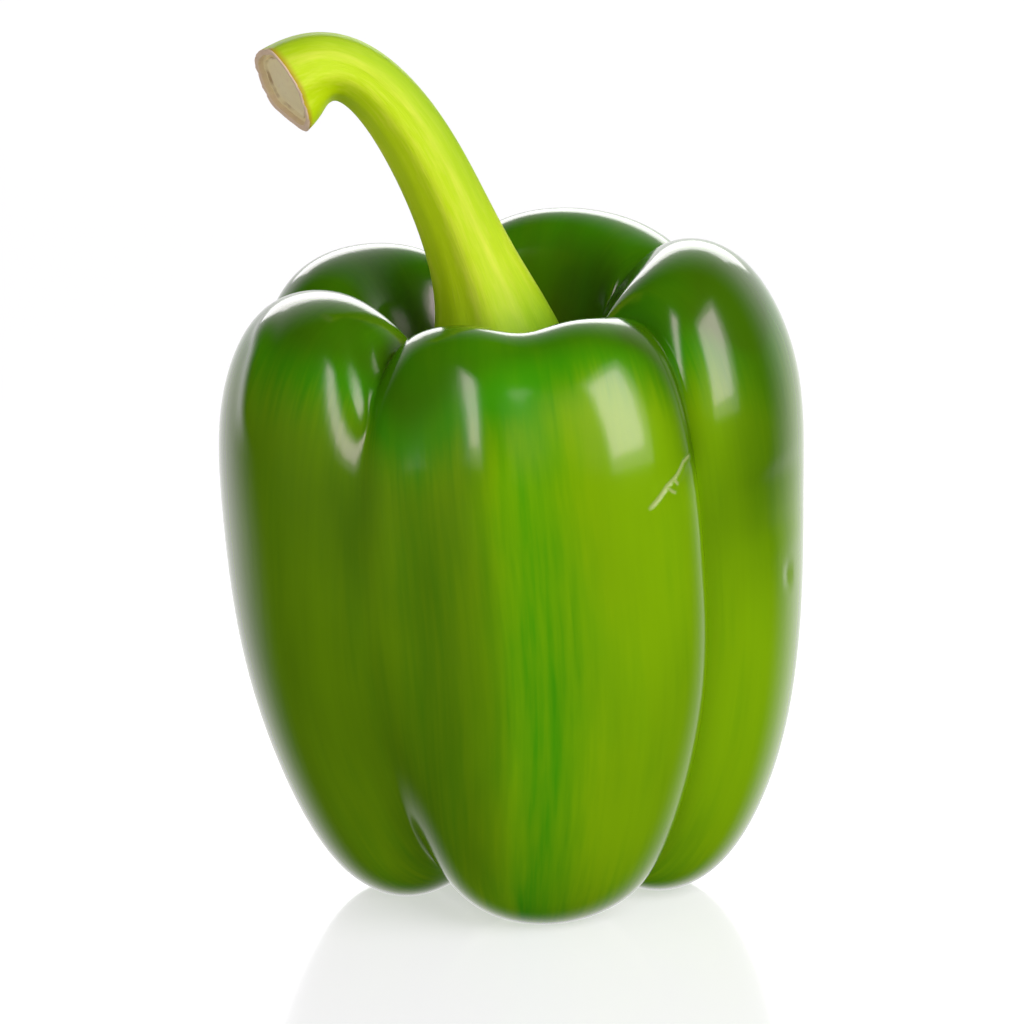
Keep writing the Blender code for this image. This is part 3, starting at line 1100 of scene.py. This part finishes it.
@dataclass
class Calyx:
    """The calyx: a thin toothed collar round the stem's foot, lying on the crown.

    Attributes:
        crown: The fruit, which it lies on.
        material: The finish, shared with the stem.
        middle: Where the stem stands, in millimetres.
        segments: Faces round it.
        rings: Faces from its upper to its lower pole.
        radius: Its radius between the teeth, in millimetres.
        teeth: How many teeth it has.
        tooth_length: How far they stick out, in millimetres.
        thickness: Half its thickness in the middle.
    """

    crown: bpy.types.Object
    material: bpy.types.Material
    middle: tuple[float, float]
    segments: int = 180
    rings: int = 64
    radius: float = 11.4
    teeth: int = 6
    tooth_length: float = 2.0
    thickness: float = 0.9

    def build(self) -> bpy.types.Object:
        """Makes the collar, pressed onto the crown under it.

        Returns:
            The finished object.
        """
        deselect()
        bpy.ops.mesh.primitive_uv_sphere_add(segments=self.segments, ring_count=self.rings, radius=1.0)
        collar = bpy.context.active_object
        collar.name = "pepper_calyx"
        sphere = coordinates(collar.data)
        angle = np.arctan2(sphere[:, 1], sphere[:, 0])
        share = np.hypot(sphere[:, 0], sphere[:, 1])
        tooth = (0.5 + 0.5 * np.cos(self.teeth * angle + 0.5 + 0.5 * np.sin(angle))) ** 2.2
        uneven = 1 + 0.05 * np.sin(2 * angle + 1.0) + 0.03 * np.sin(3 * angle)
        rim = self.radius * uneven + self.tooth_length * tooth
        x = self.middle[0] + rim * share * np.cos(angle)
        y = self.middle[1] + rim * share * np.sin(angle)
        ground = self.ground(x, y)
        rib = 0.25 * np.cos(self.teeth * 2 * angle) * share
        lift = (self.thickness + rib) * sphere[:, 2] * np.where(sphere[:, 2] > 0, 1.0, 0.8)
        curl = 0.5 * tooth * smooth_step(share, 0.8, 1.0)
        place_vertices(collar.data, np.stack((x, y, ground + lift + curl), 1) * MM)
        mesh = collar.data
        store(mesh, "grain", np.stack((np.cos(angle), np.sin(angle), share), 1))
        store(mesh, "ridge", rib)
        store(mesh, "green", smooth_step(share, 0.3, 0.9))
        store(mesh, "edge", np.zeros(len(share)))
        mesh.shade_smooth()
        mesh.materials.append(self.material)
        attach(collar, "root")
        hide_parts("stem")
        LOG.info("%s: %d vertices", collar.name, len(mesh.vertices))
        return collar

    def ground(self, x: np.ndarray, y: np.ndarray) -> np.ndarray:
        """Height of the crown under some places.

        Args:
            x: Places from left to right, in millimetres, shape (n,).
            y: Places from front to back.

        Returns:
            Heights in millimetres, shape (n,).
        """
        tree = BVHTree.FromObject(self.crown, bpy.context.evaluated_depsgraph_get())
        down = Vector((0.0, 0.0, -1.0))
        heights = []
        for px, py in zip(x, y):
            hit = tree.ray_cast(Vector((px * MM, py * MM, 0.2)), down)[0]
            heights.append(hit.z / MM)
        return np.array(heights)


# ---------------------------------------------------------------------------------------
# The studio


class Use(Enum):
    """What a light does."""

    SHINE = "seen in reflections only"
    LIGHT = "lights surfaces without being reflected"


@dataclass(frozen=True)
class Softbox:
    """A rectangular light that faces the object.

    Attributes:
        name: Its name.
        azimuth: Degrees from the camera's side towards the right.
        elevation: Degrees above the table.
        half_width: Half its breadth as seen from the object, in degrees.
        half_height: Half its height as seen from the object, in degrees.
        brightness: Its radiance; a white wall in plain light has 1.
        use: What it does.
        distance: How far it stands, in metres.
    """

    name: str
    azimuth: float
    elevation: float
    half_width: float
    half_height: float
    brightness: float
    use: Use
    distance: float = 1.0

    def build(self, target: Vector) -> bpy.types.Object:
        """Makes the light.

        Args:
            target: The point that it faces.

        Returns:
            The light object.
        """
        turn, rise = radians(self.azimuth), radians(self.elevation)
        away = Vector((sin(turn) * cos(rise), -cos(turn) * cos(rise), sin(rise)))
        light = bpy.data.lights.new(self.name, "AREA")
        light.shape = "RECTANGLE"
        light.size = 2 * self.distance * tan(radians(self.half_width))
        light.size_y = 2 * self.distance * tan(radians(self.half_height))
        light.energy = self.brightness * pi * light.size * light.size_y
        box = bpy.data.objects.new(self.name, light)
        bpy.context.scene.collection.objects.link(box)
        box.location = target + away * self.distance
        box.rotation_euler = (-away).to_track_quat("-Z", "Y").to_euler()
        box.visible_camera = False
        box.visible_diffuse = self.use is Use.LIGHT
        box.visible_glossy = self.use is Use.SHINE
        return box


@dataclass
class Studio:
    """White table, white surroundings, softboxes and the camera.

    Attributes:
        target: The point that the camera and the softboxes face, in metres.
        elevation: Degrees of the camera above the table.
        distance: How far the camera stands, in metres.
        lens: Its focal length, in millimetres.
        table_size: Breadth of the table, in metres.
        ambient: Light from all round.
        table_light: Light from below, which stands in for the table's.
        back_shine: How bright the surroundings behind the object look in reflections.
        floor: The table's finish.
        softboxes: The lights.
    """

    target: Vector = field(default_factory=lambda: Vector((0.0, 0.0, 0.05415)))
    elevation: float = 14.0
    distance: float = 1.2
    lens: float = 300.8
    table_size: float = 6.0
    ambient: float = 0.21
    table_light: float = 0.26
    back_shine: float = 1.2
    floor: FloorFinish = field(default_factory=FloorFinish)
    softboxes: tuple[Softbox, ...] = (
        Softbox("strip_left", -34, 33, 5, 20, 6.5, Use.SHINE),
        Softbox("strip_left_halo", -34, 32, 9, 25, 1.7, Use.SHINE),
        Softbox("window_right", 56, 32, 16, 20, 6.0, Use.SHINE),
        Softbox("window_right_halo", 57, 31, 21, 26, 2.0, Use.SHINE),
        Softbox("back_wall", 180, 20, 25, 10, 3.6, Use.SHINE),
        Softbox("key", 41, 30, 26, 22, 4.0, Use.LIGHT),
        Softbox("fill", -64, 0, 26, 22, 0.75, Use.LIGHT),
    )

    def camera(self) -> None:
        """The camera, slightly above the object and far from it."""
        rise = radians(self.elevation)
        back = Vector((0.0, -cos(rise), sin(rise)))
        data = bpy.data.cameras.new("camera")
        data.lens = self.lens
        data.sensor_width = 36.0
        data.clip_start = 0.05
        data.clip_end = 50.0
        camera = bpy.data.objects.new("camera", data)
        bpy.context.scene.collection.objects.link(camera)
        camera.location = self.target + back * self.distance
        camera.rotation_euler = (-back).to_track_quat("-Z", "Y").to_euler()
        bpy.context.scene.camera = camera

    def table(self) -> None:
        """The table top, which is not part of the object."""
        deselect()
        bpy.ops.mesh.primitive_plane_add(size=self.table_size)
        table = bpy.context.active_object
        table.name = "table"
        table.data.materials.append(self.floor.build())
        table.visible_diffuse = False
        table.visible_glossy = False

    def world(self) -> None:
        """White behind the object, dark behind the camera, white to the camera itself."""
        world = bpy.data.worlds.new("studio")
        bpy.context.scene.world = world
        world.use_nodes = True
        graph = Graph(world.node_tree)
        rays = graph.add("ShaderNodeLightPath")
        direction = graph.add("ShaderNodeTexCoord").outputs["Generated"]
        parts = graph.add("ShaderNodeSeparateXYZ", {}, {0: direction})
        depth = Number(graph, parts.outputs[1])
        height = Number(graph, parts.outputs[2])
        behind = depth.between(0.3, 0.85) * (1.0 - height.between(0.3, 0.9) * 0.6)
        shine = behind * self.back_shine + 0.01
        seen = Number(graph, rays.outputs["Is Camera Ray"])
        glossy = Number(graph, rays.outputs["Is Glossy Ray"])
        ambient = self.ambient + self.table_light * height.between(0.1, -0.3)
        strength = seen + (1.0 - seen) * (glossy * shine + (1.0 - glossy) * ambient)
        sockets = {"Color": (1.0, 1.0, 1.0), "Strength": strength}
        background = graph.add("ShaderNodeBackground", {}, sockets)
        graph.add("ShaderNodeOutputWorld", {}, {"Surface": background.outputs[0]})

    def build(self) -> None:
        """Sets up the studio."""
        self.camera()
        self.table()
        self.world()
        for softbox in self.softboxes:
            softbox.build(self.target)
        bpy.context.scene.view_settings.view_transform = "Standard"
        LOG.info("studio: %d softboxes", len(self.softboxes))


def main() -> None:
    """Loads the frame and builds the pepper and the studio."""
    logging.basicConfig(level=logging.INFO, format="%(name)s %(message)s")
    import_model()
    fruit = Fruit()
    skin = fruit.build()
    stem = Stem(offset=fruit.offset())
    tube = stem.build()
    foot = np.array(stem.line[0][:2]) + stem.offset[:2]
    Calyx(crown=skin, material=tube.data.materials[0], middle=(foot[0], foot[1])).build()
    Studio().build()


if __name__ == "__main__":
    main()
